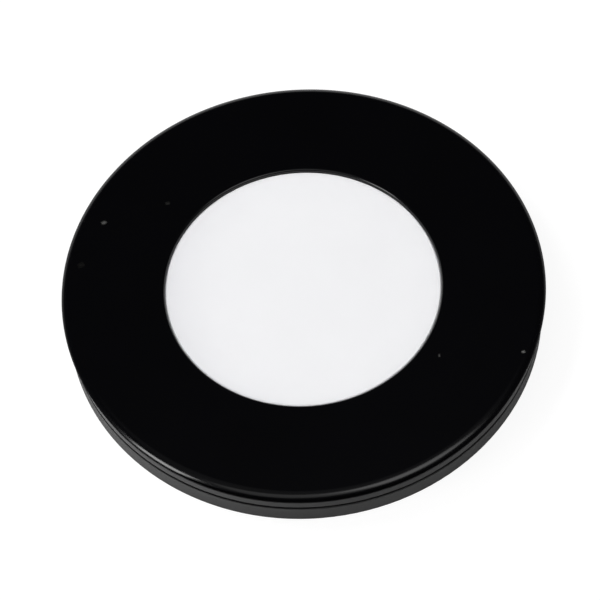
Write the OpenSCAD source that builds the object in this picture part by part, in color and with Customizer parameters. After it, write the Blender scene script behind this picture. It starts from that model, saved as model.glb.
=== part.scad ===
// Slim round surface-mounted LED puck light. The light head twists onto a mounting plate.
// The origin is the centre of the plate's back, and +Z is the way the light shines.

/* [Overall] */
// Diameter of the opening that the lens shows through
lens_d = 40; // [36:0.5:50]
// Width of the trim ring's face, from that opening to the rim
trim_w = 15; // [14:0.5:20]

/* [Trim ring] */
// Thickness of the trim ring at its rim
trim_t = 0.45; // [0.4:0.01:0.5]
// Thickness of the trim ring over the lens flange
lip_t = 0.6; // [0.55:0.05:0.7]
// How far the trim ring reaches past the side of the body
trim_overhang = 0.5; // [0.3:0.05:0.8]
// Radius that rolls the trim's face down to the rim
rim_r = 1.8; // [1.4:0.1:2.2]
// Radius of the edge around the opening
lip_r = 0.4; // [0.1:0.05:0.5]
// Wall of the spigot that centres the trim ring in the housing
spigot_t = 0.8; // [0.6:0.05:1]
// Depth of that spigot below the rim
spigot_h = 0.9; // [0.5:0.05:1]

/* [Lens and light guide] */
// Depth of the lens face below the trim face
lens_recess = 0.35; // [0.1:0.05:0.5]
// Clearance around the lens in the opening
lens_gap = 0.1; // [0.05:0.01:0.3]
// Width of the lens flange held under the trim ring
lens_lap = 2.6; // [2:0.1:2.9]
// Thickness of the lens flange
flange_t = 0.7; // [0.6:0.05:1]
// Radius of the lens face's edge
lens_edge_r = 0.15; // [0.05:0.01:0.18]
// Thickness of the edge-lit light guide
guide_t = 1.35; // [1.3:0.05:2]
// Thickness of the reflector film behind the light guide
film_t = 0.2; // [0.1:0.01:0.4]
// Play between the layers of the optical stack
stack_gap = 0.05; // [0.02:0.01:0.1]

/* [LED strip] */
// Number of LEDs around the light guide
led_count = 12; // [6:1:18]
// Width of an LED along the strip
led_w = 3; // [2:0.1:3.5]
// Height of an LED
led_h = 1.4; // [1:0.05:1.5]
// Depth of an LED from the strip to its window
led_depth = 0.8; // [0.6:0.05:1]
// Air gap between the LED windows and the light guide
led_gap = 0.12; // [0.05:0.01:0.3]
// Thickness of the flexible strip
strip_t = 0.2; // [0.1:0.01:0.3]
// Height of the flexible strip
strip_h = 1.8; // [1.6:0.05:1.95]
// Width of the strip's solder tongue
tongue_w = 3; // [2:0.1:3.5]
// Angle of the solder tongue
tongue_angle = 63; // [62:0.5:65]

/* [Housing] */
// Thickness of the housing floor
floor_t = 0.6; // [0.6:0.05:1.5]
// Height of the band around the housing
band_h = 1.3; // [1:0.05:2]
// Depth of the finger groove between the band and the trim ring
groove_depth = 1.3; // [0.8:0.05:1.6]
// Thickness of the wall at the groove
wall_t = 1.3; // [1:0.05:1.6]
// Thickness of the rib that backs the LED strip
rib_t = 1; // [0.7:0.05:1.2]
// Radius of the edges of the side bands
band_edge_r = 0.12; // [0.06:0.02:0.2]

/* [Case screws] */
// Shank diameter of a case screw
screw_d = 2; // [1.6:0.1:2.2]
// Head diameter of a case screw
screw_head_d = 3.8; // [3:0.1:4.2]
// Length of a case screw, head included
screw_l = 2.7; // [2.4:0.1:2.9]
// Diameter of the trim ring's screw bosses
boss_d = 4; // [3.4:0.1:4.4]
// Height of the pads under those bosses
pad_h = 0.4; // [0.2:0.05:0.6]
// Clearance around screws, posts and contacts
fit_gap = 0.05; // [0.02:0.01:0.08]

/* [Driver board] */
// Thickness of the driver board
board_t = 0.6; // [0.4:0.05:0.8]
// Height of the board above the housing floor
board_lift = 0.2; // [0.1:0.05:0.3]
// Clearance between the board and the walls
board_gap = 0.4; // [0.2:0.05:0.6]
// Angle that the crescent-shaped board covers
board_span = 92; // [88:1:98]
// Diameter of the posts that locate the board
post_d = 1.2; // [0.8:0.05:1.5]

/* [Lead socket] */
// Width of the lead socket
socket_w = 7.2; // [7:0.1:7.6]
// Height of the lead socket
socket_h = 1.85; // [1.7:0.05:1.95]
// Clearance between the socket and the rib behind the LED strip
socket_clear = 2.1; // [1.6:0.1:2.4]
// Wall of the lead socket around its mouth
socket_wall = 0.35; // [0.2:0.05:0.5]
// Thickness of the socket's rear wall
socket_back = 1.2; // [0.8:0.1:2]
// Distance between the two contacts
contact_pitch = 2.5; // [2:0.1:3]
// Width of a contact
contact_w = 0.6; // [0.4:0.05:0.8]
// Thickness of a contact
contact_t = 0.3; // [0.2:0.05:0.4]

/* [Mounting plate] */
// Height of the mounting plate
plate_h = 2.85; // [2.4:0.05:3.5]
// Seam between the mounting plate and the housing
seam_gap = 0.55; // [0.3:0.05:0.8]
// Thickness of the plate's floor
plate_floor_t = 0.9; // [0.8:0.05:1]
// Thickness of the plate's side wall
plate_wall_t = 1.45; // [1.2:0.05:1.6]
// Depth of the relief in the plate's back
relief_depth = 0.3; // [0.1:0.05:0.4]
// Width of the land that touches the wall or cabinet
land_w = 7.5; // [6:0.5:8]
// Height of the plate's stiffening ribs
plate_rib_h = 0.7; // [0.3:0.05:0.9]
// Thickness of the plate's stiffening ribs
plate_rib_t = 0.8; // [0.6:0.05:1.2]
// Distance between the two mounting holes
hole_spacing = 40; // [36:0.5:42]
// Diameter of the mounting holes
hole_d = 3.4; // [3:0.1:4]
// Diameter of the countersinks
sink_d = 5.8; // [5:0.1:6]
// Diameter of the bosses around the mounting holes
hole_boss_d = 8.6; // [8:0.1:9.4]
// Height of those bosses above the plate's floor
hole_boss_h = 0.9; // [0.8:0.05:1.2]

/* [Twist lock] */
// Angle that each lug covers
lug_span = 16; // [12:1:19]
// Turn from locked to free
twist = 20; // [18:1:24]
// Thickness of the tabs
tab_t = 0.7; // [0.5:0.05:0.8]
// Reach of the tabs in from the plate's side wall
tab_w = 2.45; // [2:0.05:2.6]
// Running clearance between lugs and tabs
lug_gap = 0.05; // [0.03:0.01:0.1]
// Radial clearance of the lugs to the plate
lug_side_gap = 0.4; // [0.3:0.05:0.5]
// Thickness of the neck that carries each lug
lug_neck_t = 1.7; // [1.2:0.05:1.8]
// Angle of each stop rib
stop_span = 2.6; // [1.5:0.1:4]

/* [Hidden] */
$fn = 96;
cut = 0.5;                    // how far a cutting shape runs past the face it cuts
weld = 0.2;                   // how far a shape runs into the one it is part of

// Heights, from the back up
back_z = plate_h + seam_gap;
inside_z = back_z + floor_t;
guide_z = inside_z + film_t + stack_gap;
flange_z = guide_z + guide_t + stack_gap;
lip_z = flange_z + flange_t + stack_gap;
top_z = lip_z + lip_t;
rim_z = top_z - trim_t;
lens_top_z = top_z - lens_recess;
band_z = back_z + band_h;
rib_top_z = rim_z - 2 * stack_gap;
strip_z = inside_z + stack_gap;
led_z = strip_z + strip_h / 2;
board_z = inside_z + board_lift;
board_top_z = board_z + board_t;
pad_z = inside_z + pad_h;
socket_z = inside_z + stack_gap;

// Radii, from the rim in
trim_r = lens_d / 2 + trim_w;
body_r = trim_r - trim_overhang;
neck_r = body_r - groove_depth;
wall_in_r = neck_r - wall_t;
spigot_r = wall_in_r - fit_gap;
spigot_in_r = spigot_r - spigot_t;
open_r = lens_d / 2;
face_r = open_r - lens_gap;
flange_r = open_r + lens_lap;
pocket_r = flange_r + lens_gap;
led_face_r = flange_r + led_gap;
strip_in_r = sqrt(pow(led_face_r + led_depth, 2) + pow(led_w / 2, 2)) + fit_gap;
strip_out_r = strip_in_r + strip_t;
rib_in_r = strip_out_r + fit_gap;
rib_out_r = rib_in_r + rib_t;
channel_r = (rib_out_r + spigot_in_r) / 2;
rim_roll = sqrt(pow(rim_r, 2) - pow(rim_r - trim_t, 2));   // width of the rolled part of the face
plate_in_r = body_r - plate_wall_t;
tab_in_r = plate_in_r - tab_w;
stop_in_r = tab_in_r - 0.3;     // the stop ribs reach a little further in than the tabs
lug_out_r = plate_in_r - lug_side_gap;
lug_neck_r = tab_in_r - lug_side_gap;
lug_in_r = lug_neck_r - lug_neck_t;
land_in_r = body_r - land_w;

// Twist lock, as angles from the clockwise end of a lug
lug_count = 3;
tab_drop = 0.1;               // from the wall's top to the tabs, and on to the stop ribs
tab_z = plate_h - tab_drop - tab_t;
lug_z = plate_floor_t + 2 * lug_gap;
lug_top_z = tab_z - lug_gap;
stop_play = 0.6;              // between a lug and a stop rib
release = 2.5;                // past the tab's end once the head is free
tab_end = twist - release;
window_end = tab_end + 0.4;    // the moulding window runs a little past its tab
window_play = 0.1;            // and a little inside it and the wall
tab_start = -stop_play - stop_span;
far_stop = lug_span + twist + stop_play;
lug_angles = [for (i = [0:lug_count - 1]) 90 - lug_span / 2 + i * 360 / lug_count];

// Board and screws
screw_count = 3;
first_screw = 30;             // angle of the first screw
screw_angles = [for (i = [0:screw_count - 1]) first_screw + i * 360 / screw_count];
screw_land = 0.6;             // pad around a screw's head
post_foot_d = 2.4;            // foot of a board post
board_start = 90 - board_span / 2;
post_inset = 4;               // angle between the board's ends and its posts
post_angles = [board_start + post_inset, 90 + board_span / 2 - post_inset];
socket_front = sqrt(pow(neck_r, 2) - pow(socket_w / 2, 2));
socket_rear = rib_out_r + socket_clear;
socket_l = socket_front - socket_rear;
mouth_back = socket_rear + socket_back;
contact_z = board_top_z + stack_gap;
contact_in = 0.5;             // from the socket's mouth to the contact's tip
solder_inset = 0.5;           // from the board's inner edge to a contact's tail
contact_tail = rib_out_r + board_gap + solder_inset;
tongue_lap = 2;               // of the strip's tongue over the board
tongue_end = rib_out_r + board_gap + tongue_lap;

// Chip parts on the board: sizes are along the arc, across it and up
resistor_size = [1.6, 3.2, 0.55];
resistor_angles = [53.5, 57.5, 121.5, 125.5];
capacitor_size = [1.6, 3.2, 1];
capacitor_angles = [101.5, 117.5];
chip_end = 0.5;               // length of a chip's tinned end
regulator_size = [3, 1.7, 1];
regulator_angle = 73.5;
regulator_pitch = 0.95;
rectifier_size = [4.7, 3.6, 1.1];
rectifier_angle = 109.5;
rectifier_pitch = 2.5;        // between leads on one side
lead_size = [0.45, 0.65, 0.15];
lead_rise = 0.5;              // of a package's leads above the board
window_rim = 0.25;            // of an LED around its phosphor window
window_depth = 0.1;

led_names = [for (i = [1:led_count]) str("led_", i < 10 ? "0" : "", i)];
resistor_names = [for (i = [1:len(resistor_angles)]) str("resistor_", i)];
capacitor_names = [for (i = [1:len(capacitor_angles)]) str("capacitor_", i)];

// A plain ring between two radii and two heights
module ring(r_in, r_out, z0, z1) {
    rotate_extrude() translate([r_in, z0]) square([r_out - r_in, z1 - z0]);
}

// A piece of such a ring between two angles
module sector(r_in, r_out, z0, z1, from_a, to_a) {
    rotate([0, 0, from_a]) rotate_extrude(angle = to_a - from_a)
        translate([r_in, z0]) square([r_out - r_in, z1 - z0]);
}

// An upright round bar between two heights
module bar(d, z0, z1) {
    translate([0, 0, z0]) cylinder(d = d, h = z1 - z0);
}

// Quarter of a disc: side_x and side_z say which quarter
module quarter_disc(x, z, r, side_x, side_z) {
    intersection() {
        translate([x, z]) circle(r);
        translate([side_x > 0 ? x : x - 2 * r, side_z > 0 ? z : z - 2 * r]) square(2 * r);
    }
}

// Section of a ring with rounded outer corners
module band_section(r_in, r_out, z0, z1, top_r, low_r) {
    translate([r_in, z0 + low_r]) square([r_out - top_r - r_in, z1 - z0 - low_r]);
    translate([r_in, z0]) square([r_out - low_r - r_in, z1 - z0 - top_r]);
    translate([r_in, z0 + low_r]) square([r_out - r_in, z1 - z0 - top_r - low_r]);
    quarter_disc(r_out - top_r, z1 - top_r, top_r, 1, 1);
    quarter_disc(r_out - low_r, z0 + low_r, low_r, 1, -1);
}

// A block centred on X and Y
module block(size) {
    translate([-size[0] / 2, -size[1] / 2, 0]) cube(size);
}

// Top of the driver board at an angle, with Y pointing outwards
module on_board(angle) {
    rotate([0, 0, angle - 90]) translate([0, channel_r, board_top_z]) children();
}

// Moulded plate: pan, ribs, screw bosses, and tabs over the windows that form them
module mounting_plate() {
    color("#111113") difference() {
        union() {
            difference() {
                plate_pan();
                for (a = lug_angles)
                    sector(tab_in_r - window_play, plate_in_r - window_play, -cut, plate_floor_t + cut,
                           a - stop_play - stop_span / 2, a + window_end);
            }
            for (a = lug_angles) plate_tab(a);
        }
        plate_relief();
        for (side = [-1, 1]) translate([side * hole_spacing / 2, 0, 0]) mounting_hole();
    }
}

module plate_pan() {
    rotate_extrude() band_section(plate_in_r, body_r, 0, plate_h, band_edge_r, band_edge_r);
    ring(0, plate_in_r + weld, 0, plate_floor_t);
    plate_ribs();
    for (side = [-1, 1]) translate([side * hole_spacing / 2, 0, 0])
        bar(hole_boss_d, 0, plate_floor_t + hole_boss_h);
}

// Two stiffening rings with six spokes between them
module plate_ribs() {
    spokes = 6;
    hub_r = 5;
    hoop_r = lug_in_r - lug_side_gap;
    rib_z = plate_floor_t + plate_rib_h;
    ring(hub_r - plate_rib_t, hub_r, plate_floor_t - weld, rib_z);
    ring(hoop_r - plate_rib_t, hoop_r, plate_floor_t - weld, rib_z);
    for (i = [0:spokes - 1]) rotate([0, 0, (i + 0.5) * 360 / spokes])
        translate([hub_r - plate_rib_t / 2, -plate_rib_t / 2, plate_floor_t - weld])
            cube([hoop_r - hub_r, plate_rib_t, plate_rib_h + weld]);
}

// Tab and the stop ribs at both ends of a lug's travel
module plate_tab(a) {
    sector(tab_in_r, plate_in_r + 2 * weld, tab_z, tab_z + tab_t, a + tab_start / 2, a + tab_end);
    for (from_a = [a + tab_start, a + far_stop])
        sector(stop_in_r, plate_in_r + 3 * weld, 0, plate_h - 2 * tab_drop, from_a, from_a + stop_span);
}

// Shallow relief in the back, with lands left under the two screw bosses
module plate_relief() {
    difference() {
        ring(0, land_in_r, -cut, relief_depth);
        for (side = [-1, 1]) translate([side * hole_spacing / 2, 0, 0])
            bar(hole_boss_d, -2 * cut, relief_depth + cut);
    }
}

module mounting_hole() {
    boss_top = plate_floor_t + hole_boss_h;
    sink_h = (sink_d - hole_d) / 2;
    bar(hole_d, -cut, boss_top + cut);
    translate([0, 0, boss_top - sink_h]) cylinder(d1 = hole_d, d2 = sink_d, h = sink_h);
    bar(sink_d, boss_top, boss_top + cut);
}

// Die-cast pan: floor, band, groove wall, LED rib, screw pads, board posts and lugs
module housing() {
    color("#131315") difference() {
        union() {
            rotate_extrude() band_section(wall_in_r, body_r, back_z, band_z, band_edge_r, band_edge_r);
            ring(0, wall_in_r + weld, back_z, inside_z);
            ring(wall_in_r, neck_r, band_z - weld, rim_z);
            ring(rib_in_r, rib_out_r, inside_z - weld, rib_top_z);
            for (a = screw_angles) at_channel(a) bar(screw_head_d + 2 * screw_land, inside_z - weld, pad_z);
            for (a = post_angles) at_channel(a) {
                bar(post_foot_d, inside_z - weld, board_z);
                bar(post_d, inside_z - weld, board_top_z + board_lift);
            }
            for (a = lug_angles) housing_lug(a);
        }
        for (a = screw_angles) at_channel(a) screw_solid(fit_gap, cut);
        socket_window();
        tongue_slot();
    }
}

// Hook-shaped lug: a neck below the floor with a foot that reaches out under the tab
module housing_lug(a) {
    sector(lug_in_r, lug_neck_r, lug_z, back_z + weld, a, a + lug_span);
    sector(lug_in_r, lug_out_r, lug_z, lug_top_z, a, a + lug_span);
}

module socket_window() {
    w = socket_w + 2 * board_gap;
    translate([-w / 2, spigot_in_r, inside_z]) cube([w, trim_r - spigot_in_r, top_z]);
}

module tongue_slot() {
    w = tongue_w + 2 * board_gap;
    rotate([0, 0, tongue_angle]) translate([rib_in_r - cut, -w / 2, contact_z - board_lift])
        cube([rib_t + 2 * cut, w, top_z]);
}

module at_channel(angle) {
    rotate([0, 0, angle]) translate([channel_r, 0, 0]) children();
}

// Countersunk screw grown by a gap, run out below its head by a length
module screw_solid(gap, run_out) {
    head_r = screw_head_d / 2 + gap;
    shank_r = screw_d / 2 + gap;
    cone_h = head_r - shank_r;
    translate([0, 0, back_z]) cylinder(r1 = head_r, r2 = shank_r, h = cone_h);
    bar(2 * shank_r, back_z + cone_h - fit_gap, back_z + screw_l + gap);
    if (run_out > 0) bar(2 * head_r, back_z - run_out, back_z);
}

// Die-cast trim: rounded rim, pocket over the lens flange, spigot and screw bosses
module trim_ring() {
    color("#0a0a0c") difference() {
        union() {
            rotate_extrude() trim_section();
            for (a = screw_angles) at_channel(a) bar(boss_d, pad_z + stack_gap, rim_z + weld);
        }
        for (a = screw_angles) at_channel(a)
            bar(screw_d + 2 * fit_gap, pad_z - cut, back_z + screw_l + weld);
        socket_notch();
    }
}

module trim_section() {
    translate([pocket_r, rim_z]) square([trim_r - rim_roll - pocket_r, trim_t]);
    intersection() {
        translate([trim_r - rim_roll, top_z - rim_r]) circle(rim_r);
        translate([trim_r - rim_roll - weld, rim_z]) square([rim_roll + cut, trim_t + cut]);
    }
    translate([open_r + lip_r, lip_z]) square([pocket_r - open_r - lip_r + weld, lip_t]);
    translate([open_r, lip_z]) square([lip_r + weld, lip_t - lip_r]);
    quarter_disc(open_r + lip_r, top_z - lip_r, lip_r, -1, 1);
    translate([spigot_in_r, rim_z - spigot_h]) square([spigot_t, spigot_h + weld]);
}

// Clears the socket in the spigot
module socket_notch() {
    w = socket_w + 2 * board_gap;
    translate([-w / 2, 0, rim_z - spigot_h - cut]) cube([w, trim_r, spigot_h + cut]);
}

// Opal lens: face in the opening, flange under the trim ring
module lens() {
    color("#f2f2f4") rotate_extrude() {
        band_section(0, face_r, lip_z - 2 * stack_gap - weld, lens_top_z, lens_edge_r, lens_edge_r / 2);
        translate([0, flange_z]) square([flange_r, flange_t]);
    }
}

module light_guide() {
    color("#e8f0f4") ring(0, flange_r, guide_z, guide_z + guide_t);
}

module reflector_film() {
    color("#fafafa") ring(0, flange_r, inside_z, inside_z + film_t);
}

// Flexible strip bent to a ring, open at its butt joint, with a tongue out to the board
module led_strip() {
    joint_angle = 285;
    joint_w = 1;
    color("#f4f4ee") {
        difference() {
            ring(strip_in_r, strip_out_r, strip_z, strip_z + strip_h);
            rotate([0, 0, joint_angle]) translate([strip_in_r - cut, -joint_w / 2, strip_z - cut])
                cube([strip_t + 2 * cut, joint_w, strip_h + 2 * cut]);
        }
        rotate([0, 0, tongue_angle]) translate([strip_in_r + strip_t / 2, -tongue_w / 2, contact_z])
            cube([tongue_end - strip_in_r - strip_t / 2, tongue_w, strip_t]);
    }
}

// Side-view package with a shallow phosphor window that faces the light guide
module led(i) {
    window = [window_depth + cut, led_w - 2 * window_rim, led_h - 2 * window_rim];
    color("#f6f0b0") rotate([0, 0, i * 360 / led_count])
        translate([led_face_r, 0, led_z]) difference() {
            translate([0, -led_w / 2, -led_h / 2]) cube([led_depth, led_w, led_h]);
            translate([-cut, -window[1] / 2, -window[2] / 2]) cube(window);
        }
}

// Crescent-shaped board, notched for the socket and held on two posts
module driver_board() {
    notch_w = socket_w + 2 * board_gap;
    color("#1f6b3a") difference() {
        sector(rib_out_r + board_gap, wall_in_r - board_gap, board_z, board_top_z,
               board_start, board_start + board_span);
        for (a = post_angles) at_channel(a) bar(post_d + 2 * fit_gap, board_z - cut, board_top_z + cut);
        translate([-notch_w / 2, socket_rear - board_gap / 2, board_z - cut])
            cube([notch_w, trim_r, board_t + 2 * cut]);
    }
}

// Moulded package with gull-wing leads along both sides
module package(size, leads, pitch) {
    foot = lead_size[2];
    translate([0, 0, foot]) block([size[0], size[1], size[2] - foot]);
    for (side = [-1, 1], i = [0:leads - 1])
        translate([(i - (leads - 1) / 2) * pitch, side * (size[1] + lead_size[1]) / 2, 0]) {
            block(lead_size);
            translate([0, -side * (lead_size[1] - foot) / 2, 0]) block([lead_size[0], foot, lead_rise]);
        }
}

// Chip with tinned ends that stand a little proud of its body
module chip(size) {
    proud = 0.03;
    translate([0, 0, proud]) block([size[0] - 2 * proud, size[1] - chip_end, size[2] - 2 * proud]);
    for (side = [-1, 1]) translate([0, side * (size[1] - chip_end) / 2, 0])
        block([size[0], chip_end, size[2]]);
}

module rectifier() {
    color("#202022") on_board(rectifier_angle) package(rectifier_size, 2, rectifier_pitch);
}

module current_regulator() {
    color("#202022") on_board(regulator_angle) package(regulator_size, 3, regulator_pitch);
}

module resistor(i) {
    color("#2a2a2e") on_board(resistor_angles[i]) chip(resistor_size);
}

module capacitor(i) {
    color("#a8835a") on_board(capacitor_angles[i]) chip(capacitor_size);
}

// Two-way socket, open to the side, with slots for its contacts
module lead_socket() {
    mouth = [socket_w - 2 * socket_wall, socket_front - mouth_back + cut, socket_h - 2 * socket_wall];
    color("#e9e6dc") difference() {
        translate([-socket_w / 2, socket_rear, socket_z]) cube([socket_w, socket_l, socket_h]);
        translate([-mouth[0] / 2, mouth_back, socket_z + socket_wall]) cube(mouth);
        for (side = [-1, 1]) translate([0, -cut, 0]) contact_solid(side, fit_gap);
    }
}

// Flat contact blade, grown by a gap
module contact_solid(side, gap) {
    translate([side * contact_pitch / 2 - contact_w / 2 - gap, contact_tail, contact_z - gap])
        cube([contact_w + 2 * gap, socket_front - contact_in - contact_tail, contact_t + 2 * gap]);
}

module contact(side) {
    color("#c9b46a") contact_solid(side, 0);
}

// Countersunk screws with cross recesses, driven from the back
module case_screws() {
    slot_w = 0.4;
    slot_l = screw_head_d * 0.55;
    slot_h = 0.5;
    color("#8e9094") for (a = screw_angles) at_channel(a) difference() {
        screw_solid(0, 0);
        for (turn = [0, 90]) rotate([0, 0, turn])
            translate([-slot_l / 2, -slot_w / 2, back_z - cut]) cube([slot_l, slot_w, slot_h + cut]);
    }
}

mounting_plate();
housing();
trim_ring();
lens();
light_guide();
reflector_film();
led_strip();
for (i = [0:led_count - 1]) led(i);
driver_board();
rectifier();
current_regulator();
for (i = [0:len(resistor_angles) - 1]) resistor(i);
for (i = [0:len(capacitor_angles) - 1]) capacitor(i);
lead_socket();
contact(-1);  // contact_left
contact(1);  // contact_right
case_screws();
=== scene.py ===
"""A slim round puck light, twisted onto its mounting plate, as its maker would put it together."""
import math

import bmesh
import bpy
from mathutils import Matrix, Vector


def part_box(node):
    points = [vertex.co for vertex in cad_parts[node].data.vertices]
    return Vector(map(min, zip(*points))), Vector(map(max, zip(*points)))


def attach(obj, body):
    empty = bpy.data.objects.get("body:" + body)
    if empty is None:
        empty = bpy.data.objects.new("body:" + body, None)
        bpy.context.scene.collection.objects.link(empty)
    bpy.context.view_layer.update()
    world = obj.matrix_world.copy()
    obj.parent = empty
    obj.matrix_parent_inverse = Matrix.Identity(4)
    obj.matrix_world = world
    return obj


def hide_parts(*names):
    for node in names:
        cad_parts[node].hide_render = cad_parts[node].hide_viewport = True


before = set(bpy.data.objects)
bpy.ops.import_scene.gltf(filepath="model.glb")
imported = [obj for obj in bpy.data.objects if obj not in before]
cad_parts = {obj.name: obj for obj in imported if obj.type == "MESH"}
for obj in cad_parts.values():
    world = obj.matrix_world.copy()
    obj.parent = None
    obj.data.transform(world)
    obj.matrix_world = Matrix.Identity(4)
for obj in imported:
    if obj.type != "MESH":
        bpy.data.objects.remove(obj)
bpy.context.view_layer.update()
MM = 0.001

# Mounting plate
# Injection-moulded in black ABS, with a spark-eroded grain on the faces that show. It is screwed to
# the cabinet first, and the light head is twisted onto it.


def linear(code):
    """A hex sRGB colour as linear RGBA."""
    parts = [int(code[i:i + 2], 16) / 255 for i in (1, 3, 5)]
    return [*(p / 12.92 if p <= 0.04045 else ((p + 0.055) / 1.055) ** 2.4 for p in parts), 1]


def add(tree, kind, inputs=None, **settings):
    """Adds a node with its settings. Each input is a constant or another node's output."""
    made = tree.nodes.new(kind)
    for name, value in settings.items():
        setattr(made, name, value)
    for name, value in (inputs or {}).items():
        if isinstance(value, bpy.types.NodeSocket):
            tree.links.new(value, made.inputs[name])
        else:
            made.inputs[name].default_value = value
    return made


def start_material(name, **constants):
    """A new material with its constants. Returns it, its tree, its shader and its coordinates."""
    material = bpy.data.materials.new(name)
    material.use_nodes = True
    tree = material.node_tree
    shader = tree.nodes["Principled BSDF"]
    for socket, value in constants.items():
        shader.inputs[socket.replace("_", " ")].default_value = value
    return material, tree, shader, add(tree, "ShaderNodeTexCoord").outputs["Object"]


def dress(material, *names):
    """Gives CAD nodes their material."""
    for name in names:
        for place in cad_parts[name].material_slots:
            place.material = material


def grow(name, tree, body, sizes, points=()):
    """Runs a Geometry Nodes tree, keeps its result as a plain mesh and lets it ride on a body."""
    start = bpy.data.meshes.new(name + "_points")
    start.from_pydata([p[0] for p in points], [], [])
    for column, label in enumerate(("turn", "size", "shade"), 1):
        if points and len(points[0]) > column:
            kind = "FLOAT_VECTOR" if label == "size" else "FLOAT"
            stored = start.attributes.new(label, kind, "POINT")
            for item, point in zip(stored.data, points):
                setattr(item, "vector" if label == "size" else "value", point[column])
    holder = bpy.data.objects.new(name + "_holder", start)
    bpy.context.scene.collection.objects.link(holder)
    modifier = holder.modifiers.new("Grow", "NODES")
    modifier.node_group = tree
    for item in tree.interface.items_tree:
        if item.in_out == "INPUT" and item.name in sizes:
            modifier[item.identifier] = sizes[item.name]
    ready = holder.evaluated_get(bpy.context.evaluated_depsgraph_get())
    mesh = bpy.data.meshes.new_from_object(ready)
    bpy.data.objects.remove(holder)
    bpy.data.meshes.remove(start)
    mesh.name = name
    made = bpy.data.objects.new(name, mesh)
    bpy.context.scene.collection.objects.link(made)
    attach(made, body)


def start_tree(name, **sockets):
    """A Geometry Nodes tree with named inputs. Returns it, its inputs and its output node."""
    tree = bpy.data.node_groups.new(name, "GeometryNodeTree")
    tree.interface.new_socket("Geometry", in_out="INPUT", socket_type="NodeSocketGeometry")
    for socket, kind in sockets.items():
        tree.interface.new_socket(socket, in_out="INPUT", socket_type="NodeSocket" + kind)
    tree.interface.new_socket("Geometry", in_out="OUTPUT", socket_type="NodeSocketGeometry")
    return tree, tree.nodes.new("NodeGroupInput").outputs, tree.nodes.new("NodeGroupOutput")


def end_tree(tree, placed, inputs, output):
    """Turns a tree's instances into real geometry with its material."""
    real = add(tree, "GeometryNodeRealizeInstances", {"Geometry": placed.outputs["Instances"]})
    done = add(tree, "GeometryNodeSetMaterial", {
        "Geometry": real.outputs["Geometry"], "Material": inputs["Material"]})
    tree.links.new(done.outputs["Geometry"], output.inputs["Geometry"])


moulded_abs, tree, shader, place = start_material(
    "Moulded_ABS_black", Roughness=0.42, Specular_IOR_Level=0.64)
# Moulded ABS: near black, dull where the grain breaks up the reflection. The grain is drawn at
# 0.25 mm, coarser than the real 0.05 mm, so that it shows at all.
cloud = add(tree, "ShaderNodeTexNoise", {"Vector": place, "Scale": 1 / (6 * MM), "Detail": 3.0})
tint = add(tree, "ShaderNodeMapRange", {
    "Value": cloud.outputs["Fac"], "From Min": 0.3, "From Max": 0.7})
colour = add(tree, "ShaderNodeMix", {
    "Factor": tint.outputs["Result"], "A": linear("#0b0b0c"), "B": linear("#101011")},
    data_type="RGBA")
tree.links.new(colour.outputs["Result"], shader.inputs["Base Color"])
grain = add(tree, "ShaderNodeTexNoise", {"Vector": place, "Scale": 1 / (0.25 * MM), "Detail": 4.0})
dull = add(tree, "ShaderNodeMapRange", {
    "Value": grain.outputs["Fac"], "To Min": 0.34, "To Max": 0.5})
tree.links.new(dull.outputs["Result"], shader.inputs["Roughness"])
bump = add(tree, "ShaderNodeBump", {
    "Height": grain.outputs["Fac"], "Distance": 0.012 * MM, "Strength": 0.35})
tree.links.new(bump.outputs["Normal"], shader.inputs["Normal"])
dress(moulded_abs, "mounting_plate")

# Ejector marks: a ring of shallow discs in the relief of the plate's back, where the mould's pins
# pushed it out.
tree, inputs, output = start_tree(
    "Ejector_marks", Count="Int", Circle="Float", Mark="Float", Height="Float", Level="Float",
    Turn="Float", Material="Material")
circle = add(tree, "GeometryNodeMeshCircle", {
    "Vertices": inputs["Count"], "Radius": inputs["Circle"]})
disc = add(tree, "GeometryNodeMeshCylinder", {
    "Vertices": 48, "Radius": inputs["Mark"], "Depth": inputs["Height"]})
level = add(tree, "ShaderNodeCombineXYZ", {"Z": inputs["Level"]})
spin = add(tree, "ShaderNodeCombineXYZ", {"Z": inputs["Turn"]})
lifted = add(tree, "GeometryNodeTransform", {
    "Geometry": circle.outputs["Mesh"], "Translation": level.outputs[0],
    "Rotation": spin.outputs[0]})
placed = add(tree, "GeometryNodeInstanceOnPoints", {
    "Points": lifted.outputs["Geometry"], "Instance": disc.outputs["Mesh"]})
end_tree(tree, placed, inputs, output)
pin_marks = tree              # the housing's casting marks use it too
grow("ejector_marks", pin_marks, "mount", {
    "Count": 8, "Circle": 24 * MM, "Mark": 1.5 * MM, "Height": 0.14 * MM, "Level": 0.29 * MM,
    "Turn": math.radians(22.5), "Material": moulded_abs})

# Gate: the torn stub where the plastic flowed in, at the middle of the relief.
GATE_RINGS = (                # radius and height of each ring of points, in mm
    (1.3, 0.31), (1.25, 0.24), (0.5, 0.22), (0.42, 0.12), (0.3, 0.08))
GATE_SIDES = 20
TORN_R, TORN_BY = 0.6, 0.12   # inside this radius a ring is torn out of round by this share
stub = bmesh.new()
for radius, level in GATE_RINGS:
    for i in range(GATE_SIDES):
        turn = i * math.tau / GATE_SIDES
        torn = radius * (1 + TORN_BY * math.sin(3 * turn + 1)) if radius < TORN_R else radius
        stub.verts.new((torn * math.cos(turn) * MM, torn * math.sin(turn) * MM, level * MM))
stub.verts.ensure_lookup_table()
for here in range(0, (len(GATE_RINGS) - 1) * GATE_SIDES, GATE_SIDES):
    there = here + GATE_SIDES
    for i in range(GATE_SIDES):
        j = (i + 1) % GATE_SIDES
        stub.faces.new([stub.verts[k] for k in (here + i, there + i, there + j, here + j)])
stub.faces.new(stub.verts[-GATE_SIDES:])
stub.faces.new(stub.verts[:GATE_SIDES])
bmesh.ops.recalc_face_normals(stub, faces=stub.faces)
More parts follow.
